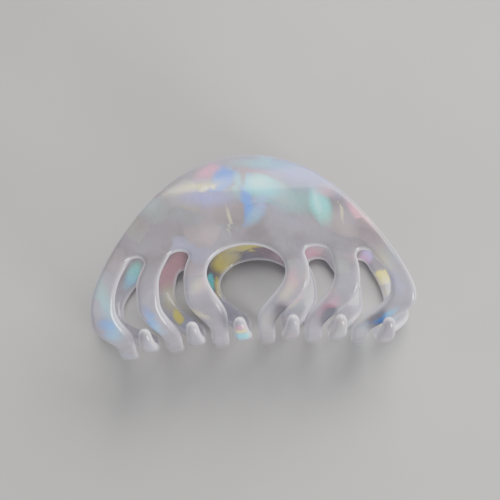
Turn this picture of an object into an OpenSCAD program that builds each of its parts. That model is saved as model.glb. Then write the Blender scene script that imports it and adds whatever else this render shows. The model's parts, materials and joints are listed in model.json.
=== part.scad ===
// Claw clip for hair: two identical moulded jaws on one hinge pin, held shut by a torsion spring.
// The clip lies on its back jaw: +X along the hinge pin, +Y towards the crest, +Z up out of the front jaw.
// The jaws are drawn upright about the hinge pin, with x along the pin, y towards the back and z up.

/* [Jaw sheet] */
// Widest half width of a jaw, at the outer teeth
half_width = 47.9; // [44:0.1:52]
// Thickness of the moulded sheet
sheet = 3.3; // [2.6:0.1:3.8]
// Radius of the crown, the bend from the crest to the flat waist
crown_radius = 25; // [23:0.1:27]
// Length of the flat waist, between the crown and the flanks of the teeth
waist_length = 11.8; // [10:0.1:13]
// Radius of the flanks, which turn the teeth inwards
flank_radius = 24; // [23:0.1:25]
// Length of the flat soles, under the clip
sole_length = 6; // [5:0.1:7]
// Radius of the curled tooth tips
curl_radius = 7; // [6.5:0.1:8]
// Length of sheet from the crest line to the top edge at the middle
crown_inset = 2.3; // [2:0.1:4]
// Length of sheet from the crest line to the widest point
widest_at = 44; // [42:0.5:46]
// How much lower the sheet lies at 10 mm from the middle
bow_per_cm = 0.18; // [0:0.02:0.24]

/* [Teeth] */
// Spacing of the tooth tips
pitch = 14; // [13:0.1:15]
// Width of a tooth where it bulges
bulge_width = 7.4; // [6.6:0.1:7.8]
// Width of a tooth at its tip
tip_width = 5.3; // [4.6:0.1:5.5]
// Radius of the round end of a tip
tip_radius = 1.8; // [1.2:0.1:2]

/* [Hinge] */
// Diameter of the hinge pin
pin_diameter = 2; // [1.6:0.1:2.4]
// Radius of a lug's eye
eye_radius = 4.2; // [3.8:0.1:4.6]
// Thickness of a lug along the pin
lug_width = 3; // [2.4:0.1:3.2]
// Gap along the pin between two neighbouring lugs
lug_gap = 0.3; // [0.2:0.05:0.5]
// Half of the space for the spring between the inner lugs
spring_bay = 7.4; // [7.2:0.1:8]

/* [Spring] */
// Diameter of the spring wire
wire = 1.3; // [1:0.1:1.3]
// Mean radius of the coil
coil_radius = 2.7; // [2.4:0.1:2.9]
// Rise of the coil in one turn
coil_pitch = 1.45; // [1.4:0.01:1.5]
// Quarter turns in the coil, always one more than a whole number of turns
coil_quarters = 33; // [29:4:33]
// Length of the bent foot that bears on a jaw
foot_length = 3; // [2:0.5:4]

/* [Hidden] */
$fn = 96;

// The sheet's profile in (y, z), about the pin: crown arc, flat waist, flank arc, flat sole and curl arc.
// Its heading is 0 straight down the waist and 90 along the sole.
crest_heading = -48;
tip_heading = 162;
waist_y = -19.5;
waist_top = -5.1;
waist_bottom = waist_top - waist_length;
crown_centre = [waist_y + crown_radius, waist_top];
flank_centre = [waist_y + flank_radius, waist_bottom];
sole_z = waist_bottom - flank_radius;
curl_centre = [flank_centre.x + sole_length, sole_z + curl_radius];

// Length of sheet from the crest to the end of each stretch of the profile.
function arc(radius, turn) = radius * turn * PI / 180;
crown_end = arc(crown_radius, -crest_heading);
waist_end = crown_end + waist_length;
flank_end = waist_end + arc(flank_radius, 90);
sole_end = flank_end + sole_length;
tip_end = sole_end + arc(curl_radius, tip_heading - 90);

// The middle surface's point (y, z) at sheet length s from the crest.
function on_arc(centre, radius, heading) = centre - radius * [cos(heading), sin(heading)];
function turned(length, radius) = length / radius * 180 / PI;
function profile(s) =
    s < crown_end ? on_arc(crown_centre, crown_radius, turned(s - crown_end, crown_radius))
    : s < waist_end ? [waist_y, waist_top - (s - crown_end)]
    : s < flank_end ? on_arc(flank_centre, flank_radius, turned(s - waist_end, flank_radius))
    : s < sole_end ? [flank_centre.x + s - flank_end, sole_z]
    : on_arc(curl_centre, curl_radius, 90 + turned(s - sole_end, curl_radius));
// How much lower the teeth hang at x, to a hundredth of a millimetre.
function bow(x) = bow_per_cm * pow(x / 10, 2);
function drop(i) = round(100 * bow(tip_x(i))) / 100;

// Teeth, left to right: where each bulges, how much slimmer it is, how far along the sheet it bulges
// and how far its root leans in.
bulge_x = [-44.2, -30.7, -16.6, 13.5, 28, 44.2];
slimmer = [0, 0.8, 0.6, 0.4, 0, 0];
bulge_at = [44, 41, 40, 39.5, 39.5, 42.5];
root_lean = [5.7, 5, 3.5, 3, 2.5, 10];
// Where each tooth crosses over to its tip, over what length, and by how much its outer edge is late
// and its inner edge early.
cross_at = [53.4, 53.3, 48.9, 48.4, 50.1, 52.8];
crossing = [13.9, 16.4, 15.4, 16.8, 18.5, 16.6];
lag = [1.6, 0.5, 3, 1.3, 1.2, 0.9];
// Between neighbouring teeth: where each slot's round top begins, and how far it rises.
slot_at = [33.3, 33, 38.5, 34, 34.6];
slot_rise = [2.2, 1.8, 7.3, 1.9, 1.9];
// The outlines of the teeth begin inside the body, at the outer edge and at the slots.
root_at = 31;
dome_root_at = 24;
slot_peak = 26;
hook_at = 62;
// The teeth part from the body at this z, above every slot, and their hooks begin at this y.
body_bottom = -14;
hook_y = -4;
teeth = len(bulge_x);
// A length that reaches clear of the whole jaw.
far = 50;
edge_steps = 16;
dome_steps = 24;

function ease(t) = let (u = min(1, max(0, t))) (1 - cos(180 * u)) / 2;
function side_of(i) = sign(bulge_x[i]);
function tip_x(i) = (i - (teeth - 1) / 2) * pitch - pitch / 4;

// The edge of tooth i at sheet length s: side is -1 for the left edge and 1 for the right one.
function free_edge(i, side, s) =
    let (
        late = side * side_of(i) * lag[i],
        from = bulge_x[i] + side * (bulge_width - slimmer[i]) / 2,
        to = tip_x(i) + side * tip_width / 2,
        cross = ease((s - cross_at[i] - late) / crossing[i] + 0.5),
        lean = s < bulge_at[i] ? root_lean[i] * pow((bulge_at[i] - s) / (bulge_at[i] - root_at), 2) : 0
    )
    from + (to - from) * cross - side_of(i) * lean;

// A slot's middle and half gap where its round top begins.
function slot_middle(k) = (free_edge(k, 1, slot_at[k]) + free_edge(k + 1, -1, slot_at[k])) / 2;
function slot_half(k) = (free_edge(k + 1, -1, slot_at[k]) - free_edge(k, 1, slot_at[k])) / 2;
// The edge of the slot's round top, from its peak (turn 0) to where it begins (turn 90).
function slot_top(k, side, turn) =
    [slot_middle(k) + side * slot_half(k) * sin(turn), slot_at[k] - slot_rise[k] * cos(turn)];

// The outer edge of the whole jaw: a curve from the middle of the crest to the widest point.
// Its left shoulder is the fuller one.
crest_reach = 0.51 * half_width;
left_shoulder = 11;
right_shoulder = 7;
function dome(side, t) =
    let (
        a = [0, crown_inset],
        b = [side * crest_reach, crown_inset],
        c = [side * half_width, widest_at - (side < 0 ? left_shoulder : right_shoulder)],
        d = [side * half_width, widest_at],
        u = 1 - t
    )
    u * u * u * a + 3 * u * u * t * b + 3 * u * t * t * c + t * t * t * d;

// Sheet coordinates (x along the pin, s down the sheet) seen from the front, as (x, z).
function seen(p) = [p.x, profile(p.y).y - bow(p.x)];
function span(from, to, steps) = [for (k = [0:steps]) from + (to - from) * k / steps];

// One side of a tooth in sheet coordinates, from inside the body down to its hook.
function tooth_side(i, side) =
    let (outermost = side < 0 ? i == 0 : i == teeth - 1, k = side < 0 ? i - 1 : i)
    outermost
        ? concat(
            [for (t = span(dome_share(side, dome_root_at), 1, 8)) dome(side, t)],
            [for (s = span(widest_at + 1, hook_at, edge_steps)) [free_edge(i, side, s), s]]
        )
        : concat(
            [[slot_middle(k), slot_peak]],
            [for (turn = [0:15:75]) slot_top(k, -side, turn)],
            [for (s = span(slot_at[k], hook_at, edge_steps)) [free_edge(i, side, s), s]]
        );
// The share of the dome curve at sheet length s, found by halving.
function dome_share(side, s, low = 0, high = 1, tries = 24) =
    let (middle = (low + high) / 2)
    tries == 0 ? middle
        : dome(side, middle).y < s ? dome_share(side, s, middle, high, tries - 1)
        : dome_share(side, s, low, middle, tries - 1);
function reversed(list) = [for (k = [len(list) - 1:-1:0]) list[k]];

// Lugs, along the pin: the outer one of a jaw is on its left, the inner one on its right.
inner_lug_x = spring_bay + lug_width / 2;
outer_lug_x = inner_lug_x + lug_width + lug_gap;
running_clearance = 0.05;
fixed_clearance = 0.02;
web_slope = 9;
cap_length = 2;
cap_radius = 2.1;
pin_end = outer_lug_x + lug_width / 2 + lug_gap + cap_length / 2;

// Spring: both legs leave the coil from below and run up to the inside of a grip.
leg_angle = 45;
coil_turns = coil_quarters / 4;
coil_half = coil_turns * coil_pitch / 2;
foot_bend = 1.3;
foot_gap = 0.15;
wire_sides = 8;
rings_per_turn = 12;

// Rest pose: the back jaw's flank and the front jaw's tips touch the floor together.
back_flank_centre = [-flank_centre.x, flank_centre.y];
tip_corner = on_arc(curl_centre, curl_radius + sheet / 2, tip_heading);
tips_offset = tip_corner - back_flank_centre;
lie_angle = -atan2(tips_offset.y, tips_offset.x) - acos((flank_radius + sheet / 2) / norm(tips_offset));
// Height of the pin above the floor, and the middle of the lying clip behind the pin.
pin_height = back_flank_centre.x * cos(lie_angle) - back_flank_centre.y * sin(lie_angle)
    + flank_radius + sheet / 2 + drop(0) * sin(lie_angle);
pin_forward = 16.26;

module lay_down() {
    translate([0, pin_forward, pin_height])
        rotate([lie_angle - 90, 0, 0])
            children();
}

// Turns a drawing in (y, z) into a plate of the given width, centred at x.
module plate(x, width) {
    translate([x - width / 2, 0, 0])
        rotate([90, 0, 90])
            linear_extrude(width)
                children();
}

// The sheet bent about a centre (y, z) from one heading to another.
module bend(centre, radius, from, to, width) {
    translate([0, centre.x, centre.y])
        rotate([90, 0, 90])
            rotate([0, 0, 180 + from])
                rotate_extrude(angle = to - from)
                    translate([radius - sheet / 2, -width / 2])
                        square([sheet, width]);
}

// A prism along y over an outline in (x, z).
module through(from_y, to_y) {
    translate([0, to_y, 0])
        rotate([90, 0, 0])
            linear_extrude(to_y - from_y)
                children();
}

// The dome of the jaw, down to where the teeth part.
module jaw_body() {
    left = [for (t = span(1, 0, dome_steps)) seen(dome(-1, t))];
    right = [for (t = span(0, 1, dome_steps)) seen(dome(1, t))];
    width = 2 * half_width + 2;
    intersection() {
        union() {
            bend(crown_centre, crown_radius, crest_heading, 0, width);
            translate([-width / 2, waist_y - sheet / 2, body_bottom])
                cube([width, sheet, waist_top - body_bottom]);
        }
        through(-far, far)
            polygon(concat(left, [for (k = [1:dome_steps]) right[k]]));
    }
}

// The bent strip that tooth i is cut from, hanging lower the further out it is.
module tooth_strip(i) {
    width = 44;
    waist_rest = body_bottom - waist_bottom + drop(i);
    translate([tip_x(i), 0, -drop(i)]) {
        translate([-width / 2, waist_y - sheet / 2, waist_bottom])
            cube([width, sheet, waist_rest]);
        bend(flank_centre, flank_radius, 0, 90, width);
        translate([-tip_width / 2, flank_centre.x, sole_z - sheet / 2])
            cube([tip_width, sole_length, sheet]);
        bend(curl_centre, curl_radius, 90, tip_heading, tip_width);
    }
}

// The outline of tooth i from the body to its hook, seen from the front.
function tooth_outline(i) =
    let (past_sheet = profile(hook_at).y - 2 * sheet)
    concat(
        [for (p = tooth_side(i, -1)) seen(p)],
        [for (side = [-1, 1]) [tip_x(i) + side * tip_width / 2, past_sheet]],
        [for (p = reversed(tooth_side(i, 1))) seen(p)]
    );

// The outline of tooth i past its hook. Its inner side slopes in to a round end on the outer side.
module hook_outline(i) {
    outer = side_of(i);
    end = [tip_width / 2 - tip_radius, profile(tip_end).y - drop(i) - tip_radius];
    foot = [-tip_width / 2, sole_z - drop(i)];
    slope = atan2(end.y - foot.y, end.x - foot.x) + asin(tip_radius / norm(end - foot));
    points = concat(
        [[tip_width / 2, -far], [tip_width / 2, end.y]],
        [for (a = [15:15:slope + 75]) end + tip_radius * [cos(a), sin(a)]],
        [end + tip_radius * [cos(slope + 90), sin(slope + 90)], foot, [foot.x, -far]]
    );
    polygon([for (p = points) [tip_x(i) + outer * p.x, p.y]]);
}

module tooth(i) {
    intersection() {
        union() tooth_strip(i);
        union() {
            through(-far, hook_y) polygon(tooth_outline(i));
            through(hook_y, far) hook_outline(i);
        }
    }
}

module jaw() {
    union() {
        jaw_body();
        for (i = [0:teeth - 1]) tooth(i);
    }
}

// A hinge lug: an eye around the pin on a web that is bonded inside the crown.
module lug(x, clearance) {
    crown_inside = crown_radius - sheet / 2;
    web_top = [-eye_radius * sin(web_slope), eye_radius * cos(web_slope)];
    plate(x, lug_width)
        difference() {
            union() {
                circle(eye_radius);
                intersection() {
                    translate(crown_centre) circle(crown_inside, $fn = 200);
                    polygon([
                        [0, 0],
                        web_top,
                        web_top + far * [-cos(web_slope), sin(web_slope)],
                        [-far, -eye_radius],
                        [0, -eye_radius]
                    ]);
                }
            }
            circle(pin_diameter / 2 + clearance);
        }
}

module back_side() {
    rotate([0, 0, 180]) children();
}

module front_jaw() {
    color("lavender") lay_down() jaw();
}

module back_jaw() {
    color("ghostwhite") lay_down() back_side() jaw();
}

module front_outer_lug() {
    color("lavender") lay_down() lug(-outer_lug_x, running_clearance);
}

module front_inner_lug() {
    color("lavender") lay_down() lug(inner_lug_x, running_clearance);
}

module back_outer_lug() {
    color("ghostwhite") lay_down() back_side() lug(-outer_lug_x, fixed_clearance);
}

module back_inner_lug() {
    color("ghostwhite") lay_down() back_side() lug(inner_lug_x, fixed_clearance);
}

// The pin: a plain shank with a flat head at its left end.
module hinge_pin() {
    head_radius = 2.1;
    head_length = 1;
    head_x = -outer_lug_x - lug_width / 2 - lug_gap - head_length;
    color("silver")
        lay_down()
            rotate([90, 0, 90]) {
                translate([0, 0, head_x]) cylinder(r = head_radius, h = head_length);
                translate([0, 0, head_x + head_length / 2])
                    cylinder(d = pin_diameter, h = pin_end - head_x - head_length / 2);
            }
}

// The push-on cap that keeps the pin in at its right end.
module pin_cap() {
    cap_x = pin_end - cap_length / 2;
    color("silver")
        lay_down()
            rotate([90, 0, 90])
                translate([0, 0, cap_x])
                    difference() {
                        cylinder(r = cap_radius, h = cap_length);
                        translate([0, 0, -1])
                            cylinder(d = pin_diameter + 2 * fixed_clearance, h = 1 + cap_length / 2 + fixed_clearance);
                    }
}

// The length of a straight leg, so that its foot just clears the inside of the crown.
function leg_length(length = 6) =
    let (
        tip = coil_radius * [cos(leg_angle), -sin(leg_angle)] + length * [sin(leg_angle), cos(leg_angle)],
        reach = norm([-tip.x, tip.y] - crown_centre)
    )
    reach > crown_radius - sheet / 2 - wire / 2 - foot_gap ? length : leg_length(length + 0.05);

// Wire sections from a leg's foot to its coil end: [middle, side direction, other direction], in (x, y, z).
// The leg lies at x; dir is 1 for the leg to the back and -1 for the one to the front.
function leg_sections(x, dir) =
    let (
        out = [0, dir * cos(leg_angle), -sin(leg_angle)],
        along = [0, dir * sin(leg_angle), cos(leg_angle)],
        root = [x, 0, 0] + coil_radius * out,
        straight = leg_length() - foot_bend,
        corner = root + straight * along + dir * foot_bend * [1, 0, 0]
    )
    concat(
        [[corner + foot_bend * along + dir * (foot_length - foot_bend) * [1, 0, 0], out, -dir * along]],
        [for (a = [90:-30:0])
            [corner + foot_bend * (sin(a) * along - dir * cos(a) * [1, 0, 0]),
                out, cos(a) * [1, 0, 0] - dir * sin(a) * along]],
        [[root + straight * 0.5 * along, out, [1, 0, 0]]]
    );

function coil_sections() =
    let (count = round(coil_turns * rings_per_turn))
    [for (k = [0:count])
        let (a = -leg_angle - 360 * coil_turns * k / count, radial = [0, cos(a), sin(a)])
        [[-coil_half + 2 * coil_half * k / count, 0, 0] + coil_radius * radial, radial, [1, 0, 0]]];

function wire_ring(section) =
    [for (k = [0:wire_sides - 1])
        let (a = 360 * (k + 0.5) / wire_sides)
        section[0] + wire / 2 * (cos(a) * section[1] + sin(a) * section[2])];

module torsion_spring() {
    sections = concat(leg_sections(-coil_half, 1), coil_sections(), reversed(leg_sections(coil_half, -1)));
    last = len(sections) - 1;
    points = [for (section = sections) each wire_ring(section)];
    sides = [for (r = [0:last - 1], k = [0:wire_sides - 1])
        let (n = (k + 1) % wire_sides)
        [r * wire_sides + k, r * wire_sides + n, (r + 1) * wire_sides + n, (r + 1) * wire_sides + k]];
    ends = [
        [for (k = [wire_sides - 1:-1:0]) k],
        [for (k = [0:wire_sides - 1]) last * wire_sides + k]
    ];
    color("gainsboro")
        lay_down()
            polyhedron(points, concat(ends, sides));
}

front_jaw();
back_jaw();
front_outer_lug();
front_inner_lug();
back_outer_lug();
back_inner_lug();
hinge_pin();
pin_cap();
torsion_spring();
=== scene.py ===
"""The looks of the claw clip: pearl acetate jaws and lugs, a steel pin with its cap, and the spring."""
import json
import math

import bmesh
import bpy
import numpy as np
from mathutils import Matrix, Vector
from mathutils.geometry import delaunay_2d_cdt


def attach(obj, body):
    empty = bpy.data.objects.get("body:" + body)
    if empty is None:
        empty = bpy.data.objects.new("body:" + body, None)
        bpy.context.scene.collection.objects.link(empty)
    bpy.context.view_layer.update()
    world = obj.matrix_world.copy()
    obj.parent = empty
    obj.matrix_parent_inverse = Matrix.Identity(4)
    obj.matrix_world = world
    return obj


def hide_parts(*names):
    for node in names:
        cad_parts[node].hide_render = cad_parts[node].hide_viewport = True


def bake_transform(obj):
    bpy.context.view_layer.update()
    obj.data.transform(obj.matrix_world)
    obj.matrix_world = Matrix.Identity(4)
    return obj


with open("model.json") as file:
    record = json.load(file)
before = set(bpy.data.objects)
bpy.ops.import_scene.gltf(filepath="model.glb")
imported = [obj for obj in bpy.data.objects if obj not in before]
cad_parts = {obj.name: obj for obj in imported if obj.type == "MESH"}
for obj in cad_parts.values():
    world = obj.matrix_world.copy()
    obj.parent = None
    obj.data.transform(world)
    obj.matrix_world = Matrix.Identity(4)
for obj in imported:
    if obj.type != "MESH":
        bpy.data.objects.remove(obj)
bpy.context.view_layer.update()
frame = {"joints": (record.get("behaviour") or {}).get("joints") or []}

MM = 0.001

# The jaw's sheet, in millimetres, upright about the hinge pin: x along the pin, y to the back, z up.
HALF_WIDTH = 47.9
SHEET = 3.3
CROWN_RADIUS = 25
WAIST_LENGTH = 11.8
FLANK_RADIUS = 24
SOLE_LENGTH = 6
CURL_RADIUS = 7
CREST_HEADING = math.radians(-48)
TIP_HEADING = math.radians(162)
WAIST_Y = -19.5
WAIST_TOP = -5.1
WAIST_BOTTOM = WAIST_TOP - WAIST_LENGTH
CROWN_Y = WAIST_Y + CROWN_RADIUS
FLANK_Y = WAIST_Y + FLANK_RADIUS
SOLE_Z = WAIST_BOTTOM - FLANK_RADIUS
CURL_CENTRE = (FLANK_Y + SOLE_LENGTH, SOLE_Z + CURL_RADIUS)

# Sheet lengths from the crest to the end of each stretch.
CROWN_END = CROWN_RADIUS * -CREST_HEADING
WAIST_END = CROWN_END + WAIST_LENGTH
FLANK_END = WAIST_END + FLANK_RADIUS * math.pi / 2
SOLE_END = FLANK_END + SOLE_LENGTH
TIP_END = SOLE_END + CURL_RADIUS * (TIP_HEADING - math.pi / 2)

# The jaw's outer edge, and how much lower the sheet hangs away from the middle.
CROWN_INSET = 2.3
WIDEST_AT = 44
CREST_REACH = 0.51
LEFT_SHOULDER = 11
RIGHT_SHOULDER = 7
BOW_PER_CM = 0.18

# Teeth, left to right: where each bulges and how much slimmer it is, how its root leans in, where and over
# what length it crosses to its tip, and by how much its outer edge is late. Then the slots between them.
PITCH = 14
BULGE_WIDTH = 7.4
TIP_WIDTH = 5.3
TIP_RADIUS = 1.8
BULGE_X = (-44.2, -30.7, -16.6, 13.5, 28, 44.2)
SLIMMER = (0, 0.8, 0.6, 0.4, 0, 0)
BULGE_AT = (44, 41, 40, 39.5, 39.5, 42.5)
ROOT_LEAN = (5.7, 5, 3.5, 3, 2.5, 10)
CROSS_AT = (53.4, 53.3, 48.9, 48.4, 50.1, 52.8)
CROSSING = (13.9, 16.4, 15.4, 16.8, 18.5, 16.6)
LAG = (1.6, 0.5, 3, 1.3, 1.2, 0.9)
SLOT_AT = (33.3, 33, 38.5, 34, 34.6)
SLOT_RISE = (2.2, 1.8, 7.3, 1.9, 1.9)
ROOT_AT = 31
HOOKS_HANG_FROM = 56
HOOKS_HANG_OVER = 8
TEETH = len(BULGE_X)
TOOTH_STEPS = 60
DOME_STEPS = 80
ROUND_STEPS = 12

# How finely the jaw is meshed: along its outline, inside it, and around its rounded edge.
OUTLINE_SPACING = 0.5
INSIDE_SPACING = 1.4
INSIDE_MARGIN = 0.6
EDGE_STEPS = 5
EASING_PASSES = 3

# Hinge and spring.
PIN_RADIUS = 1
PIN_END = 15
HEAD_X = -15
HEAD_LENGTH = 1
HEAD_RADIUS = 2.1
HEAD_CORNER = 0.4
SHANK_CORNER = 0.15
CAP_START = 14
CAP_END = 16
CAP_CORNER = 0.35
CORNER_STEPS = 5
RUNNING_CLEARANCE = 0.05
FIXED_CLEARANCE = 0.02
RUNNING_BORE = PIN_RADIUS + RUNNING_CLEARANCE
FIXED_BORE = PIN_RADIUS + FIXED_CLEARANCE
EYE_RADIUS = 4.2
LUG_WIDTH = 3
WEB_SLOPE = math.radians(9)
INNER_LUG_X = 8.9
OUTER_LUG_X = 12.2
WIRE = 1.3
COIL_RADIUS = 2.7
COIL_TURNS = 8.25
COIL_HALF = 5.98
LEG_ANGLE = math.radians(45)
FOOT_LENGTH = 3
FOOT_BEND = 1.3
FOOT_GAP = 0.15
SHORTEST_LEG = 6
LEG_STEP = 0.05
COIL_STEPS = 300
WIRE_SIDES = 16


def lying_matrix():
    """From the upright jaw, in millimetres, to the clip lying on its back jaw, in metres."""
    outside = CURL_RADIUS + SHEET / 2
    offset_y = CURL_CENTRE[0] - outside * math.cos(TIP_HEADING) + FLANK_Y
    offset_z = CURL_CENTRE[1] - outside * math.sin(TIP_HEADING) - WAIST_BOTTOM
    reach = math.hypot(offset_y, offset_z)
    lie = -math.atan2(offset_z, offset_y) - math.acos((FLANK_RADIUS + SHEET / 2) / reach)
    pin = Vector(frame["joints"][0]["pos_m"])
    return Matrix.Translation(pin) @ Matrix.Rotation(lie - math.pi / 2, 4, "X") @ Matrix.Scale(MM, 4)


LYING = lying_matrix()
BACK_SIDE = Matrix.Rotation(math.pi, 4, "Z")


def smooth(t):
    """Eases t from 0 to 1 and holds it there outside that range."""
    t = min(1, max(0, t))
    return t * t * (3 - 2 * t)


# The jaw's outline, in sheet coordinates (x along the pin, s down the sheet from the crest).
def side_of(i):
    return math.copysign(1, BULGE_X[i])


def tip_x(i):
    return (i - (TEETH - 1) / 2) * PITCH - PITCH / 4


def free_edge(i, side, s):
    """The edge of tooth i at s: side is -1 for its left edge and 1 for its right one."""
    late = side * side_of(i) * LAG[i]
    start = BULGE_X[i] + side * (BULGE_WIDTH - SLIMMER[i]) / 2
    end = tip_x(i) + side * TIP_WIDTH / 2
    turn = min(1, max(0, (s - CROSS_AT[i] - late) / CROSSING[i] + 0.5))
    cross = (1 - math.cos(math.pi * turn)) / 2
    lean = ROOT_LEAN[i] * ((BULGE_AT[i] - s) / (BULGE_AT[i] - ROOT_AT)) ** 2 if s < BULGE_AT[i] else 0
    return start + (end - start) * cross - side_of(i) * lean


def slot_top(k, side, turn):
    """The round top of the slot after tooth k, from its peak (turn 0) to where it begins (turn pi/2)."""
    left = free_edge(k, 1, SLOT_AT[k])
    right = free_edge(k + 1, -1, SLOT_AT[k])
    half = (right - left) / 2
    return ((left + right) / 2 + side * half * math.sin(turn), SLOT_AT[k] - SLOT_RISE[k] * math.cos(turn))


def dome(side, t):
    """One half of the jaw's outer edge, from the middle of the crest to its widest point."""
    u = 1 - t
    shoulder = WIDEST_AT - (LEFT_SHOULDER if side < 0 else RIGHT_SHOULDER)
    x = 3 * u * u * t * CREST_REACH * HALF_WIDTH + (3 * u * t * t + t ** 3) * HALF_WIDTH
    s = (u ** 3 + 3 * u * u * t) * CROWN_INSET + 3 * u * t * t * shoulder + t ** 3 * WIDEST_AT
    return (side * x, s)


def steps(start, end, count):
    """Evenly spaced values from start to end, both included."""
    return [start + (end - start) * k / count for k in range(count + 1)]


def tip_outline(i):
    """Tooth i's hook, from its outer side around its tip to the foot of its sloping inner side."""
    end = np.array((TIP_WIDTH / 2 - TIP_RADIUS, TIP_END - TIP_RADIUS))
    foot = np.array((-TIP_WIDTH / 2, SOLE_END))
    x, y = end - foot
    slope = math.atan2(y, x) + math.asin(TIP_RADIUS / math.hypot(x, y))
    points = [end + TIP_RADIUS * np.array((math.cos(a), math.sin(a)))
              for a in steps(0, math.pi / 2 + slope, ROUND_STEPS)]
    return [(tip_x(i) + side_of(i) * x, y) for x, y in points + [foot]]


def tooth_edges(i):
    """Tooth i from the top of its right edge, around its round tip, to the top of its left edge."""
    just_below = WIDEST_AT + 0.5
    left_top = just_below if i == 0 else SLOT_AT[i - 1]
    right_top = just_below if i == TEETH - 1 else SLOT_AT[i]
    tip = tip_outline(i)
    if side_of(i) < 0:
        tip.reverse()
    right = [(free_edge(i, 1, s), s) for s in steps(right_top, tip[0][1], TOOTH_STEPS)]
    left = [(free_edge(i, -1, s), s) for s in steps(tip[-1][1], left_top, TOOTH_STEPS)]
    return right + tip[1:-1] + left


def jaw_outline():
    """The jaw's whole edge: the dome's right half, the teeth and slots leftwards, the dome's left half."""
    quarter = math.pi / 2
    points = [dome(1, t) for t in steps(0, 1, DOME_STEPS)]
    for i in range(TEETH - 1, -1, -1):
        points += tooth_edges(i)
        if i > 0:
            points += [slot_top(i - 1, 1, a) for a in steps(quarter, 0, ROUND_STEPS)][1:]
            points += [slot_top(i - 1, -1, a) for a in steps(0, quarter, ROUND_STEPS)][1:-1]
    points += [dome(-1, t) for t in steps(1, 0, DOME_STEPS)][:-1]
    return np.array(points)


def evenly_spaced(points, spacing):
    """A closed line through the points, in steps of about the given length, with its kinks eased."""
    closed = np.vstack([points, points[:1]])
    lengths = np.concatenate([[0], np.cumsum(np.hypot(*np.diff(closed, axis=0).T))])
    count = round(lengths[-1] / spacing)
    at = np.arange(count) * lengths[-1] / count
    even = np.column_stack([np.interp(at, lengths, closed[:, k]) for k in (0, 1)])
    for _ in range(EASING_PASSES):
        even = even / 2 + (np.roll(even, 1, 0) + np.roll(even, -1, 0)) / 4
    return even


def inward(loop):
    """Unit normals that point into the sheet; the loop runs clockwise in (x, s) with s downwards."""
    along = np.roll(loop, -1, 0) - np.roll(loop, 1, 0)
    normals = np.column_stack([-along[:, 1], along[:, 0]])
    return normals / np.linalg.norm(normals, axis=1, keepdims=True)


# The height of an equilateral triangle whose side is 1.
ROW_SHARE = 0.866


def inside_points(loop, spacing, margin):
    """A staggered grid of points inside the loop, at least margin from it."""
    low, high = loop.min(0), loop.max(0)
    after = np.roll(loop, -1, 0)
    found = []
    for row, s in enumerate(np.arange(low[1], high[1], spacing * ROW_SHARE)):
        xs = np.arange(low[0] + spacing / 2 * (row % 2), high[0], spacing)
        crosses = (loop[:, 1] > s) != (after[:, 1] > s)
        a, b = loop[crosses], after[crosses]
        cuts = a[:, 0] + (s - a[:, 1]) / (b[:, 1] - a[:, 1]) * (b[:, 0] - a[:, 0])
        xs = xs[(xs[:, None] > cuts[None, :]).sum(1) % 2 == 1]
        near = loop[abs(loop[:, 1] - s) < margin + OUTLINE_SPACING * 2]
        found += [(x, s) for x in xs
                  if not len(near) or np.hypot(near[:, 0] - x, near[:, 1] - s).min() > margin]
    return np.array(found)


# From the sheet to the bent jaw.
def bow(x):
    return BOW_PER_CM * (x / 10) ** 2


def sag(x, s):
    """How much lower the sheet hangs at x; each hook hangs as a whole."""
    tooth = min(range(TEETH), key=lambda i: abs(x - tip_x(i)))
    return bow(x) + (bow(tip_x(tooth)) - bow(x)) * smooth((s - HOOKS_HANG_FROM) / HOOKS_HANG_OVER)


def on_arc(y, z, radius, heading):
    return (y - radius * math.cos(heading), z - radius * math.sin(heading), heading)


def middle_surface(x, s):
    """The middle surface's y, z and heading; heading is 0 straight down and grows inwards."""
    if s < WAIST_END:
        above = CROWN_RADIUS * math.sin((CROWN_END - s) / CROWN_RADIUS) if s < CROWN_END else CROWN_END - s
        above -= sag(x, s)
        if above > 0:
            return on_arc(CROWN_Y, WAIST_TOP, CROWN_RADIUS, -math.asin(above / CROWN_RADIUS))
        return (WAIST_Y, WAIST_TOP + above, 0)
    if s < FLANK_END:
        y, z, heading = on_arc(FLANK_Y, WAIST_BOTTOM, FLANK_RADIUS, (s - WAIST_END) / FLANK_RADIUS)
    elif s < SOLE_END:
        y, z, heading = FLANK_Y + s - FLANK_END, SOLE_Z, math.pi / 2
    else:
        y, z, heading = on_arc(*CURL_CENTRE, CURL_RADIUS, math.pi / 2 + (s - SOLE_END) / CURL_RADIUS)
    return (y, z - sag(x, s), heading)


def bent(x, s, out):
    y, z, heading = middle_surface(x, s)
    return (x, y - out * math.cos(heading), z - out * math.sin(heading))


def new_piece(name, vertices, faces, matrix):
    """A smooth mesh piece from points in millimetres."""
    mesh = bpy.data.meshes.new(name)
    mesh.from_pydata([tuple(matrix @ Vector(v)) for v in vertices], [], faces)
    piece = bpy.data.objects.new(name, mesh)
    bpy.context.scene.collection.objects.link(piece)
    shell = bmesh.new()
    shell.from_mesh(mesh)
    bmesh.ops.recalc_face_normals(shell, faces=shell.faces)
    shell.to_mesh(mesh)
    shell.free()
    mesh.shade_smooth()
    return piece


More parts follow.
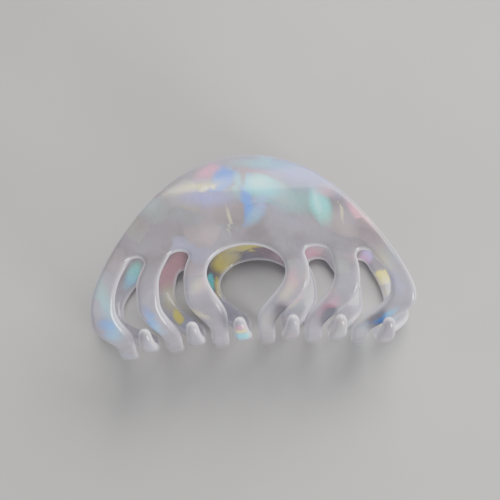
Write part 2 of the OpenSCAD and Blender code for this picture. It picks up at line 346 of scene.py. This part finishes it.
def make_jaw(name, matrix):
    """The jaw as one sheet whose edges are tumbled to a full round."""
    half = SHEET / 2
    outline = evenly_spaced(jaw_outline(), OUTLINE_SPACING)
    normals = inward(outline)
    turns = steps(0, math.pi / 2, EDGE_STEPS)
    loops = [outline + normals * half * (1 - math.cos(a)) for a in turns]
    inner = loops[-1]
    flat = np.vstack([inner, inside_points(inner, INSIDE_SPACING, INSIDE_MARGIN)])
    count = len(outline)

    sheet_points = [(*p, 0) for p in outline]
    for loop, turn in zip(loops[1:], turns[1:]):
        sheet_points += [(*p, half * math.sin(turn)) for p in loop]
    front_inner = len(sheet_points) - count
    sheet_points += [(*p, half) for p in flat[count:]]
    front_count = len(sheet_points)
    sheet_points += [(x, s, -out) for x, s, out in sheet_points[count:]]
    back_shift = front_count - count

    faces = []
    for ring in range(len(loops) - 1):
        for k in range(count):
            n = (k + 1) % count
            quad = [ring * count + k, ring * count + n, (ring + 1) * count + n, (ring + 1) * count + k]
            faces.append(quad)
            faces.append([v if v < count else v + back_shift for v in reversed(quad)])
    triangles = delaunay_2d_cdt([Vector(p) for p in flat], [], [list(range(count))], 1, 1e-5)
    origins = [o[0] for o in triangles[3]]
    for triangle in triangles[2]:
        front = [front_inner + origins[v] for v in triangle]
        faces.append(front)
        faces.append([v + back_shift for v in reversed(front)])

    piece = new_piece(name, [bent(*p) for p in sheet_points], faces, LYING @ matrix)
    in_cm = piece.data.attributes.new("sheet_cm", "FLOAT_VECTOR", "POINT")
    in_cm.data.foreach_set("vector", (np.array(sheet_points) / 10).ravel())
    return piece


# Lugs, pin, cap and spring.
def lug_outline():
    """A lug in (y, z): an eye around the pin, on a web that widens to the inside of the crown."""
    inside = CROWN_RADIUS - SHEET / 2
    web_top = Vector((-math.sin(WEB_SLOPE), math.cos(WEB_SLOPE))) * EYE_RADIUS
    along = Vector((-math.cos(WEB_SLOPE), math.sin(WEB_SLOPE)))
    from_centre = web_top - Vector((CROWN_Y, WAIST_TOP))
    b = from_centre.dot(along)
    reach = -b + math.sqrt(b * b - from_centre.dot(from_centre) + inside * inside)
    top = web_top + along * reach
    top_angle = math.atan2(top.y - WAIST_TOP, CROWN_Y - top.x)
    foot_angle = math.asin((-EYE_RADIUS - WAIST_TOP) / inside)
    eye = [(EYE_RADIUS * math.cos(a), EYE_RADIUS * math.sin(a))
           for a in steps(-math.pi / 2, math.pi / 2 + WEB_SLOPE, 40)]
    seat = [(CROWN_Y - inside * math.cos(a), WAIST_TOP + inside * math.sin(a))
            for a in steps(top_angle, foot_angle, 16)]
    return eye + seat


def make_lug(name, x, bore, matrix):
    """A moulded plate with a bore for the pin and softened edges."""
    softness = 0.35
    curve = bpy.data.curves.new(name, "CURVE")
    curve.dimensions = "2D"
    curve.fill_mode = "BOTH"
    curve.extrude = LUG_WIDTH / 2 - softness
    curve.bevel_depth = softness
    curve.bevel_resolution = 3
    curve.offset = -softness
    circle = [(bore * math.cos(a), bore * math.sin(a)) for a in steps(0, 2 * math.pi, 48)[:-1]]
    for points in (lug_outline(), circle):
        spline = curve.splines.new("POLY")
        spline.points.add(len(points) - 1)
        spline.use_cyclic_u = True
        for point, (y, z) in zip(spline.points, points):
            point.co = (y, z, 0, 1)
    drawing = bpy.data.objects.new(name + "_drawing", curve)
    bpy.context.scene.collection.objects.link(drawing)
    bpy.context.view_layer.update()
    mesh = bpy.data.meshes.new_from_object(drawing.evaluated_get(bpy.context.evaluated_depsgraph_get()))
    bpy.data.objects.remove(drawing)
    bpy.data.curves.remove(curve)
    upright = Matrix(((0, 0, 1, x), (1, 0, 0, 0), (0, 1, 0, 0), (0, 0, 0, 1)))
    mesh.transform(LYING @ matrix @ upright)
    mesh.name = name
    piece = bpy.data.objects.new(name, mesh)
    bpy.context.scene.collection.objects.link(piece)
    shell = bmesh.new()
    shell.from_mesh(mesh)
    bmesh.ops.remove_doubles(shell, verts=shell.verts, dist=1e-6)
    bmesh.ops.recalc_face_normals(shell, faces=shell.faces)
    shell.to_mesh(mesh)
    shell.free()
    mesh.shade_smooth()
    mesh.set_sharp_from_angle(angle=math.radians(35))
    return piece


def make_turned(name, profile, sides=64):
    """A turned part along the pin's axis; profile is a closed line of (x, radius) from axis to axis."""
    vertices = []
    rings = []
    for x, radius in profile:
        if radius == 0:
            rings.append([len(vertices)])
            vertices.append((x, 0, 0))
        else:
            rings.append(list(range(len(vertices), len(vertices) + sides)))
            vertices += [(x, radius * math.cos(a), radius * math.sin(a))
                         for a in steps(0, 2 * math.pi, sides)[:-1]]
    faces = []
    for one, two in zip(rings, rings[1:]):
        for k in range(sides):
            n = (k + 1) % sides
            corners = [one[k % len(one)], one[n % len(one)], two[n % len(two)], two[k % len(two)]]
            faces.append(list(dict.fromkeys(corners)))
    piece = new_piece(name, vertices, faces, LYING)
    piece.data.set_sharp_from_angle(angle=math.radians(40))
    return piece


def rounded(x_from, x_to, radius, corner):
    """The profile of a disc's rim, with both corners rounded."""
    ahead = math.copysign(corner, x_to - x_from)
    first = [(x_from + ahead * (1 - math.cos(a)), radius - corner * (1 - math.sin(a)))
             for a in steps(0, math.pi / 2, CORNER_STEPS)]
    last = [(x_to - ahead * (1 - math.sin(a)), radius - corner * (1 - math.cos(a)))
            for a in steps(0, math.pi / 2, CORNER_STEPS)]
    return first + last


def leg_points(x, side):
    """A spring leg from its foot to the coil: side is 1 for the leg to the back, -1 to the front."""
    out = Vector((0, side * math.cos(LEG_ANGLE), -math.sin(LEG_ANGLE)))
    along = Vector((0, side * math.sin(LEG_ANGLE), math.cos(LEG_ANGLE)))
    across = Vector((side, 0, 0))
    root = Vector((x, 0, 0)) + COIL_RADIUS * out
    limit = CROWN_RADIUS - SHEET / 2 - WIRE / 2 - FOOT_GAP

    def from_crown_centre(length):
        end = root + along * length
        return math.hypot(-side * end.y - CROWN_Y, end.z - WAIST_TOP)

    lengths = (SHORTEST_LEG + LEG_STEP * k for k in range(1000))
    length = next(reach for reach in lengths if from_crown_centre(reach) > limit)
    straight = length - FOOT_BEND
    corner = root + along * straight + across * FOOT_BEND
    foot = [corner + along * FOOT_BEND + across * reach
            for reach in steps(FOOT_LENGTH - FOOT_BEND, 0, 3)][:-1]
    bend = [corner + FOOT_BEND * (math.sin(a) * along - math.cos(a) * across)
            for a in steps(math.pi / 2, 0, 8)]
    leg = [root + along * straight * share for share in steps(1, 0, 10)][1:-1]
    return foot + bend + leg


def make_spring(name):
    """Round wire swept through one leg, the coil and the other leg, with rounded cut ends."""
    coil = []
    for k in range(COIL_STEPS + 1):
        a = -LEG_ANGLE - 2 * math.pi * COIL_TURNS * k / COIL_STEPS
        coil.append(Vector((-COIL_HALF + 2 * COIL_HALF * k / COIL_STEPS,
                            COIL_RADIUS * math.cos(a), COIL_RADIUS * math.sin(a))))
    path = leg_points(-COIL_HALF, 1) + coil + leg_points(COIL_HALF, -1)[::-1]
    up = Vector((0, 0, 1))
    vertices = []
    faces = []
    for k, point in enumerate(path):
        along = (path[min(k + 1, len(path) - 1)] - path[max(k - 1, 0)]).normalized()
        side = (up - along * up.dot(along)).normalized()
        up = side
        other = along.cross(side)
        vertices += [point + WIRE / 2 * (math.cos(a) * side + math.sin(a) * other)
                     for a in steps(0, 2 * math.pi, WIRE_SIDES)[:-1]]
    for ring in range(len(path) - 1):
        first, second = ring * WIRE_SIDES, (ring + 1) * WIRE_SIDES
        for k in range(WIRE_SIDES):
            n = (k + 1) % WIRE_SIDES
            faces.append([first + k, first + n, second + n, second + k])
    faces.append(list(range(WIRE_SIDES))[::-1])
    faces.append([len(vertices) - WIRE_SIDES + k for k in range(WIRE_SIDES)])
    piece = new_piece(name, vertices, faces, LYING)
    piece.data.set_sharp_from_angle(angle=math.radians(60))
    return piece


# Materials.
class Nodes:
    """A material's node tree, with a short way to add and link nodes."""

    def __init__(self, name):
        self.material = bpy.data.materials.new(name)
        self.material.use_nodes = True
        self.tree = self.material.node_tree
        self.shader = self.tree.nodes["Principled BSDF"]

    def add(self, kind, inputs=(), **settings):
        node = self.tree.nodes.new(kind)
        for key, value in settings.items():
            setattr(node, key, value)
        for key, value in dict(inputs).items():
            self.put(node.inputs[key], value)
        return node

    def put(self, socket, value):
        """Links another node's output to the socket, or sets the socket to a plain value."""
        if isinstance(value, bpy.types.NodeSocket):
            self.tree.links.new(value, socket)
        else:
            socket.default_value = value

    def math(self, operation, *values):
        node = self.add("ShaderNodeMath", operation=operation)
        for socket, value in zip(node.inputs, values):
            self.put(socket, value)
        return node.outputs[0]

    def mix(self, factor, one, two):
        node = self.add("ShaderNodeMix", data_type="RGBA")
        self.put(node.inputs["Factor"], factor)
        self.put(node.inputs["A"], one)
        self.put(node.inputs["B"], two)
        return node.outputs["Result"]

    def remap(self, value, low, high, to_low=0.0, to_high=1.0):
        """Smoothly takes the range from low to high over to the range from to_low to to_high."""
        node = self.add("ShaderNodeMapRange", interpolation_type="SMOOTHSTEP")
        for key, number in (("Value", value), ("From Min", low), ("From Max", high),
                            ("To Min", to_low), ("To Max", to_high)):
            self.put(node.inputs[key], number)
        return node.outputs["Result"]

    def stretched(self, vector, place, turn, size):
        """The vector measured from a place, along turned axes, in units of size."""
        node = self.add("ShaderNodeMapping", {"Vector": vector}, vector_type="TEXTURE")
        node.inputs["Location"].default_value = place
        node.inputs["Rotation"].default_value = (0, 0, math.radians(turn))
        node.inputs["Scale"].default_value = size
        return node.outputs["Vector"]

    def noise(self, vector, scale, detail=2.0, roughness=0.5):
        return self.add("ShaderNodeTexNoise", {"Vector": vector, "Scale": scale, "Detail": detail,
                                               "Roughness": roughness}).outputs["Fac"]

    def set_acetate(self, subsurface, depth, coat):
        """Light scattered inside to a depth in metres, under a polished skin."""
        settings = {"IOR": 1.49, "Subsurface Weight": subsurface, "Subsurface Radius": (1.0, 0.9, 1.0),
                    "Subsurface Scale": depth, "Coat Weight": coat, "Coat Roughness": 0.1}
        for key, value in settings.items():
            self.shader.inputs[key].default_value = value


# The colours of the pearl flakes, then the greys of the acetate between them (the darkest also serves as
# painted shade on the dome, the milkiest as painted light on the teeth and crest), and its pale rims, a
# painted highlight along the edge.
GLOW = (0.52, 1.0, 1.0, 1)
CYAN = (0.12, 0.95, 1.0, 1)
AQUA = (0.22, 0.66, 1.0, 1)
MINT = (0.22, 0.86, 0.74, 1)
BLUE = (0.07, 0.28, 1.0, 1)
VIOLET = (0.28, 0.26, 0.76, 1)
LILAC = (0.34, 0.39, 1.0, 1)
PINK = (1.0, 0.33, 0.54, 1)
ROSE = (0.62, 0.34, 0.38, 1)
PEACH = (0.88, 0.52, 0.52, 1)
YELLOW = (1.0, 0.88, 0.12, 1)
CREAM = (1.0, 0.96, 0.55, 1)
OLIVE = (0.70, 0.64, 0.38, 1)
SHADED_GREY_MAUVE = (0.225, 0.198, 0.212, 1)
PALE_MAUVE = (0.335, 0.305, 0.352, 1)
MILK = (0.455, 0.435, 0.525, 1)
# A painted highlight: the pale colour laid along the sheet's rounded edges.
PAINTED_EDGE_HIGHLIGHT = (0.860, 0.830, 0.900, 1)

# Pearl flakes, and a few patches of painted shade and painted refracted light laid the same way: where on
# the sheet (x, s in cm), half length and half width in cm, turn, strength, softness of the rim, and the
# colours of its two ends.
FRONT_FLAKES_AND_PAINTED_SHADE = [
    (-1.15, 0.86, 0.50, 0.24, -25, 0.60, 0.8, PINK, PINK),
    (-0.72, 1.15, 0.50, 0.34, -60, 0.95, 0.5, BLUE, BLUE),
    (-1.60, 1.42, 0.80, 0.15, -8, 0.70, 1.0, OLIVE, YELLOW),
    (-1.12, 1.42, 0.20, 0.08, -30, 0.80, 0.8, CREAM, CREAM),
    (-1.30, 1.72, 0.90, 0.26, 5, 0.65, 1.0, VIOLET, LILAC),
    (-0.32, 1.28, 0.50, 0.12, 82, 0.60, 0.9, AQUA, CYAN),
    (0.02, 1.75, 0.70, 0.20, 96, 0.85, 0.6, BLUE, BLUE),
    (0.45, 1.50, 0.58, 0.36, 15, 1.00, 0.6, CYAN, CYAN),
    (0.42, 1.42, 0.36, 0.20, 15, 0.85, 0.9, GLOW, GLOW),
    (0.30, 2.10, 0.50, 0.22, -50, 0.60, 0.7, AQUA, LILAC),
    (1.25, 1.75, 0.95, 0.42, 15, 0.45, 1.0, AQUA, MINT),
    (2.10, 2.02, 0.62, 0.28, 72, 0.85, 0.6, CYAN, MINT),
    (2.02, 1.90, 0.36, 0.10, 78, 0.60, 0.9, GLOW, GLOW),
    (1.55, 1.05, 1.50, 0.42, 18, 0.70, 1.0, LILAC, LILAC),
    (2.24, 1.58, 0.36, 0.20, 10, 0.50, 0.9, PEACH, PEACH),
    (3.28, 2.25, 0.50, 0.14, 50, 0.85, 0.8, PINK, PEACH),
    (2.72, 2.20, 0.36, 0.05, 85, 0.50, 0.9, CREAM, CREAM),
    (-0.56, 2.35, 0.36, 0.05, 75, 0.45, 0.9, CREAM, CREAM),
    (0.70, 0.72, 0.90, 0.20, 5, 0.55, 1.0, MINT, AQUA),
    (0.10, 1.00, 0.55, 0.14, 5, 0.35, 0.9, ROSE, PINK),
    # These two grey-mauve patches on the left of the dome are painted shade, not flakes.
    (-3.10, 2.30, 0.85, 0.45, -30, 0.70, 1.0, SHADED_GREY_MAUVE, SHADED_GREY_MAUVE),
    (-2.00, 2.45, 0.95, 0.45, -10, 0.60, 1.0, SHADED_GREY_MAUVE, SHADED_GREY_MAUVE),
    (-4.30, 4.20, 0.70, 0.24, 85, 0.50, 1.0, MINT, AQUA),
    (-4.25, 5.05, 0.50, 0.24, 60, 0.85, 0.9, BLUE, AQUA),
    (-2.96, 5.04, 0.55, 0.15, 65, 0.80, 0.9, BLUE, AQUA),
    (-1.52, 4.10, 0.30, 0.24, 0, 0.45, 0.9, CREAM, PEACH),
    (-1.60, 5.00, 0.30, 0.14, 40, 0.50, 0.9, YELLOW, CREAM),
    (1.04, 4.32, 0.50, 0.20, 120, 0.50, 0.9, PINK, CREAM),
    (2.16, 4.96, 0.45, 0.20, 125, 0.50, 0.9, PINK, PINK),
    (3.86, 5.22, 0.52, 0.12, 140, 0.90, 0.7, AQUA, BLUE),
    (3.12, 5.55, 0.42, 0.13, 130, 0.75, 0.8, YELLOW, CREAM),
    (3.20, 8.10, 0.25, 0.25, 0, 0.60, 0.8, CYAN, AQUA),
    (3.84, 3.60, 0.45, 0.28, 50, 0.40, 1.0, OLIVE, CREAM),
]
BACK_FLAKES_AND_PAINTED_RAINBOW = [
    (3.68, 3.12, 0.42, 0.22, 60, 0.80, 0.6, MINT, AQUA),
    (2.48, 3.20, 0.75, 0.36, 60, 0.85, 0.5, ROSE, ROSE),
    (2.56, 4.20, 0.60, 0.32, 90, 0.75, 0.7, OLIVE, OLIVE),
    (2.40, 4.96, 0.38, 0.16, 100, 0.95, 0.5, YELLOW, YELLOW),
    (0.10, 2.70, 0.85, 0.14, 0, 0.95, 0.5, YELLOW, OLIVE),
    (0.75, 3.10, 0.50, 0.40, 20, 0.85, 0.5, OLIVE, YELLOW),
    (1.28, 3.76, 0.30, 0.15, 90, 0.90, 0.5, CYAN, MINT),
    (1.04, 4.00, 0.42, 0.12, 90, 0.75, 0.5, YELLOW, OLIVE),
    (-2.00, 2.96, 0.36, 0.28, 0, 0.50, 0.7, ROSE, PINK),
    (-3.68, 3.00, 0.42, 0.22, 60, 0.80, 0.6, LILAC, PINK),
    (-4.08, 3.68, 0.38, 0.26, 60, 1.00, 0.3, YELLOW, CREAM),
    (-4.00, 4.40, 0.40, 0.20, 90, 0.50, 0.7, CREAM, CREAM),
    # These three stacked bands at a tooth's tip are a painted rainbow of light refracted at its lower
    # edge, not flakes.
    (0.40, 8.24, 0.34, 0.08, 0, 0.60, 0.7, PINK, PINK),
    (0.40, 8.10, 0.34, 0.07, 0, 0.90, 0.6, YELLOW, CREAM),
    (0.40, 7.92, 0.34, 0.12, 0, 1.00, 0.5, CYAN, AQUA),
    (-0.20, 1.40, 0.80, 0.45, 15, 0.85, 0.4, CYAN, MINT),
    (-1.10, 1.80, 0.60, 0.25, 80, 0.80, 0.4, BLUE, AQUA),
    (-2.60, 1.90, 0.80, 0.30, -40, 0.65, 0.6, PINK, LILAC),
    (1.90, 1.30, 0.90, 0.30, 25, 0.70, 0.7, LILAC, MINT),
    (2.90, 2.10, 0.50, 0.18, 45, 0.70, 0.5, CREAM, YELLOW),
    (-4.20, 5.00, 0.60, 0.24, 100, 0.70, 0.6, BLUE, AQUA),
    (3.30, 4.90, 0.60, 0.20, 80, 0.70, 0.6, CYAN, BLUE),
    (-1.20, 4.60, 0.50, 0.22, 60, 0.60, 0.6, PINK, CREAM),
]


def shifted(nodes, place, random, reach):
    """The place moved by up to the reach, in cm, along x and s, by a random colour."""
    node = nodes.add("ShaderNodeVectorMath", operation="MULTIPLY_ADD")
    nodes.put(node.inputs[0], random)
    node.inputs[1].default_value = (2 * reach, 2 * reach, 0)
    nodes.put(node.inputs[2], place)
    centred = nodes.add("ShaderNodeVectorMath", {0: node.outputs["Vector"]}, operation="SUBTRACT")
    centred.inputs[1].default_value = (reach, reach, 0)
    return centred.outputs["Vector"]


def flake(nodes, colour, place, streaked, at, length, width, turn, strength, soft, near, far):
    """Lays one pearl flake, or a patch of painted shade or painted refracted light, over the colour: a
    streaked patch that shades from one colour to another.
    """
    inside = nodes.stretched(place, (*at, 0), turn, (length, width, 1e3))
    distance = nodes.add("ShaderNodeVectorMath", {0: inside}, operation="LENGTH").outputs["Value"]
    along = nodes.add("ShaderNodeSeparateXYZ", {"Vector": inside}).outputs["X"]
    streaks = nodes.noise(nodes.stretched(streaked, (*at, 0), turn + 90, (1.2, 0.07, 1)), 1.8, 2.0)
    body = nodes.remap(distance, 1.0 + soft / 2, 1.0 - soft, 0.0, strength)
    factor = nodes.math("MULTIPLY", body, nodes.remap(streaks, 0.3, 0.65, 0.78, 1.0))
    return nodes.mix(factor, colour, nodes.mix(nodes.remap(along, -1.0, 1.0), near, far))


def pearl(name, flakes_and_painted_patches, seed):
    """Translucent pearl acetate: milky clouds, faint shards, bright flakes and pale rims, with painted
    shade on the dome, painted light on the teeth and crest, and a painted highlight on the rims.
    """
    nodes = Nodes(name)
    sheet = nodes.add("ShaderNodeAttribute", attribute_name="sheet_cm").outputs["Vector"]
    parts = nodes.add("ShaderNodeSeparateXYZ", {"Vector": sheet})
    down, out = parts.outputs["Y"], parts.outputs["Z"]
    # Flattened across the sheet, so that its two faces and its rounded edge share one pattern.
    flat = nodes.stretched(sheet, (0, 0, 0), 0, (1, 1, 1e6))
    seeded = nodes.stretched(flat, (-seed, seed, 0), 0, (1, 1, 1))
    drift_noise = nodes.add("ShaderNodeTexNoise", {"Vector": seeded, "Scale": 1.1, "Detail": 3.0})
    drift = drift_noise.outputs["Color"]
    drifted = shifted(nodes, seeded, drift, 0.35)

    # Clouds, with painted light and shade: the dome is painted greyer as shade, the teeth and the crest
    # milkier as light.
    cloud = nodes.noise(drifted, 0.7, 4.0, 0.55)
    dome_painted_shade_tone = nodes.mix(nodes.remap(cloud, 0.36, 0.66), SHADED_GREY_MAUVE, PALE_MAUVE)
    tooth_painted_light_tone = nodes.mix(nodes.remap(cloud, 0.30, 0.70), PALE_MAUVE, MILK)
    # Painted shade on the dome and painted light on the teeth, by how far down the sheet.
    colour = nodes.mix(nodes.remap(down, 2.9, 4.6), dome_painted_shade_tone, tooth_painted_light_tone)
    # Painted light along the crest, which is painted milkier.
    colour = nodes.mix(nodes.remap(down, 1.5, 0.4, 0.0, 0.6), colour, MILK)

    # Shards: faint cells of four hues, each fading towards its rim.
    cells = nodes.stretched(drifted, (0, 0, 0), 28, (1.5, 0.8, 1))
    shards = nodes.add("ShaderNodeTexVoronoi", {"Vector": cells, "Scale": 1.3})
    shard = nodes.add("ShaderNodeSeparateColor", {"Color": shards.outputs["Color"]})
    hue = nodes.add("ShaderNodeValToRGB", {"Fac": shard.outputs["Red"]})
    stops = hue.color_ramp.elements
    stops[0].position, stops[0].color = 0.15, (0.62, 0.40, 0.46, 1)
    stops[1].position, stops[1].color = 0.85, (0.44, 0.46, 0.80, 1)
    for position, stop in ((0.38, (0.58, 0.52, 0.36, 1)), (0.62, (0.40, 0.62, 0.64, 1))):
        stops.new(position).color = stop
    lit = nodes.remap(shard.outputs["Green"], 0.4, 1.0, 0.0, 0.45)
    fade = nodes.remap(shards.outputs["Distance"], 0.1, 0.8, 1.0, 0.3)
    colour = nodes.mix(nodes.math("MULTIPLY", lit, fade), colour, hue.outputs["Color"])

    # Flakes, and the patches of painted shade and painted refracted light among them, with rims broken
    # along the shards.
    broken = shifted(nodes, flat, shards.outputs["Color"], 0.09)
    broken = shifted(nodes, broken, drift, 0.12)
    for x, s, *look in flakes_and_painted_patches:
        colour = flake(nodes, colour, broken, seeded, (x, s), *look)

    # The rounded edge of the sheet is painted paler, a painted highlight along the edge, and its surface
    # ripples a little.
    edge = nodes.math("ABSOLUTE", out)
    colour = nodes.mix(nodes.remap(edge, 0.160, 0.06, 0.0, 0.75), colour, PAINTED_EDGE_HIGHLIGHT)
    nodes.put(nodes.shader.inputs["Base Color"], colour)
    satin = nodes.noise(nodes.stretched(drifted, (0, 0, 0), 85, (1.0, 0.12, 1)), 3.0, 3.0)
    nodes.put(nodes.shader.inputs["Roughness"], nodes.remap(satin, 0.3, 0.7, 0.27, 0.33))
    ripple = nodes.add("ShaderNodeBump", {"Height": nodes.noise(seeded, 1.2, 2.0), "Strength": 0.12,
                                          "Distance": 0.0006})
    nodes.put(nodes.shader.inputs["Normal"], ripple.outputs["Normal"])
    nodes.set_acetate(subsurface=0.35, depth=0.0015, coat=0.8)
    return nodes.material


def plain_pearl(name):
    """The lugs' acetate: the same milky clouds, with faint patches of colour."""
    nodes = Nodes(name)
    place = nodes.add("ShaderNodeTexCoord").outputs["Object"]
    colour = nodes.mix(nodes.remap(nodes.noise(place, 90.0, 3.0), 0.35, 0.65), PALE_MAUVE, MILK)
    for seed, shade in ((3.0, LILAC), (11.0, PINK), (23.0, MINT)):
        patch = nodes.noise(nodes.stretched(place, (seed, 0, 0), 30, (0.012, 0.004, 0.012)), 1.0, 2.0)
        colour = nodes.mix(nodes.remap(patch, 0.56, 0.75, 0.0, 0.4), colour, shade)
    nodes.put(nodes.shader.inputs["Base Color"], colour)
    satin = nodes.remap(nodes.noise(place, 700.0), 0.3, 0.7, 0.28, 0.4)
    nodes.put(nodes.shader.inputs["Roughness"], satin)
    nodes.set_acetate(subsurface=0.4, depth=0.003, coat=0.4)
    return nodes.material


def steel(name, colour, grain, roughness):
    """Drawn or turned steel with fine marks along the grain."""
    nodes = Nodes(name)
    place = nodes.add("ShaderNodeTexCoord").outputs["Object"]
    marks = nodes.noise(nodes.stretched(place, (0, 0, 0), 0, grain), 1.0, 3.0, 0.6)
    shade = nodes.remap(marks, 0.3, 0.7)
    darker = tuple(0.88 * c for c in colour[:3]) + (1,)
    nodes.put(nodes.shader.inputs["Base Color"], nodes.mix(shade, darker, colour))
    uneven = nodes.remap(marks, 0.25, 0.75, roughness - 0.04, roughness + 0.04)
    nodes.put(nodes.shader.inputs["Roughness"], uneven)
    nodes.shader.inputs["Metallic"].default_value = 1.0
    ridges = nodes.add("ShaderNodeBump", {"Height": marks, "Strength": 0.05, "Distance": 0.00001})
    nodes.put(nodes.shader.inputs["Normal"], ridges.outputs["Normal"])
    return nodes.material


def floor_material(name):
    """Plain pale board, with the slightest unevenness of tone."""
    nodes = Nodes(name)
    place = nodes.add("ShaderNodeTexCoord").outputs["Object"]
    shade = nodes.remap(nodes.noise(place, 12.0, 3.0), 0.3, 0.7)
    colour = nodes.mix(shade, (0.47, 0.46, 0.445, 1), (0.50, 0.49, 0.475, 1))
    nodes.put(nodes.shader.inputs["Base Color"], colour)
    nodes.shader.inputs["Roughness"].default_value = 0.85
    return nodes.material


def finish_piece(piece, material, slot, body, *nodes):
    """Gives a piece its looks, and the body it rides on unless that is None, in place of the CAD nodes."""
    piece.data.materials.clear()
    piece.data.materials.append(material)
    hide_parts(*nodes)
    if body is not None:
        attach(piece, body)
    return piece


# The pieces.
UPRIGHT = Matrix.Identity(4)
finish_piece(make_jaw("front_jaw_shell", UPRIGHT), pearl("front_pearl", FRONT_FLAKES_AND_PAINTED_SHADE, 3.1),
             "acetate", "front_half", "front_jaw")
finish_piece(make_jaw("back_jaw_shell", BACK_SIDE), pearl("back_pearl", BACK_FLAKES_AND_PAINTED_RAINBOW, 7.4),
             "acetate", "back_half", "back_jaw")

lug_pearl = plain_pearl("lug_pearl")
for half, matrix, bore in (("front", UPRIGHT, RUNNING_BORE), ("back", BACK_SIDE, FIXED_BORE)):
    for place, x in (("outer", -OUTER_LUG_X), ("inner", INNER_LUG_X)):
        lug = make_lug(f"{half}_{place}_eye", x, bore, matrix)
        finish_piece(lug, lug_pearl, "acetate", f"{half}_half", f"{half}_{place}_lug")

turned_steel = steel("turned_steel", (0.70, 0.70, 0.72, 1), (0.0004, 0.02, 0.02), 0.30)
head_end = HEAD_X + HEAD_LENGTH
# The shank's own first corner is left out: its side starts at the head's rounded corner.
shank = rounded(head_end, PIN_END, PIN_RADIUS, SHANK_CORNER)[CORNER_STEPS + 1:]
pin_profile = [(HEAD_X, 0)] + rounded(HEAD_X, head_end, HEAD_RADIUS, HEAD_CORNER) + shank + [(PIN_END, 0)]
finish_piece(make_turned("pin", pin_profile), turned_steel, "steel", "back_half", "hinge_pin")
cap_bottom = PIN_END + FIXED_CLEARANCE
cap_profile = [(cap_bottom, 0), (cap_bottom, FIXED_BORE), (CAP_START, FIXED_BORE)]
cap_profile += rounded(CAP_START, CAP_END, HEAD_RADIUS, CAP_CORNER) + [(CAP_END, 0)]
finish_piece(make_turned("cap", cap_profile), turned_steel, "steel", "back_half", "pin_cap")

drawn_steel = steel("drawn_steel", (0.62, 0.62, 0.64, 1), (0.004, 0.001, 0.001), 0.42)
spring = finish_piece(make_spring("spring"), drawn_steel, "steel", None, "torsion_spring")
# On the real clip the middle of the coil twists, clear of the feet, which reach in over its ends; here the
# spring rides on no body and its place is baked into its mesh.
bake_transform(spring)

# The floor, the camera and the light.
bpy.ops.mesh.primitive_plane_add(size=8)
floor = bpy.context.object
floor.name = "floor"
floor.data.materials.append(floor_material("pale_floor"))


def add_camera():
    """The camera looks up at the upright jaw by 7.2 degrees, rolled by 3.5 degrees."""
    rise, roll, distance = math.radians(7.2), math.radians(3.5), 568
    target = Vector((0, 0, -14.5))
    toward = Vector((0, -math.cos(rise), -math.sin(rise)))
    right = Vector((1, 0, 0))
    up = right.cross(-toward)
    tilted_up = up * math.cos(roll) + right * math.sin(roll)
    tilted_right = right * math.cos(roll) - up * math.sin(roll)
    turn = LYING.to_3x3().normalized()
    axes = [turn @ v for v in (tilted_right, tilted_up, toward)]
    data = bpy.data.cameras.new("camera")
    data.sensor_width = 36
    data.lens = 134.9
    data.clip_start = 0.01
    camera = bpy.data.objects.new("camera", data)
    place = Matrix.Translation(LYING @ (target + toward * distance))
    camera.matrix_world = place @ Matrix(axes).transposed().to_4x4()
    bpy.context.scene.collection.objects.link(camera)
    bpy.context.scene.camera = camera


def add_light(name, place, energy, size, colour):
    """A square soft light that faces the clip."""
    data = bpy.data.lights.new(name, "AREA")
    data.energy = energy
    data.size = size
    data.color = colour
    light = bpy.data.objects.new(name, data)
    light.location = place
    light.rotation_euler = (Vector((0, 0, 0.02)) - Vector(place)).to_track_quat("-Z", "Y").to_euler()
    bpy.context.scene.collection.objects.link(light)


add_camera()
add_light("sky", (0.35, 0.55, 0.62), 13.0, 0.8, (1.0, 0.99, 0.98))
add_light("room", (-0.5, -0.2, 0.7), 1.0, 0.8, (0.93, 0.95, 1.0))
add_light("window", (0.45, -0.56, 0.22), 5.5, 0.26, (1.0, 0.98, 0.97))
world = bpy.data.worlds.new("studio")
world.use_nodes = True
background = world.node_tree.nodes["Background"]
background.inputs["Color"].default_value = (0.86, 0.88, 0.92, 1)
background.inputs["Strength"].default_value = 0.42
bpy.context.scene.world = world
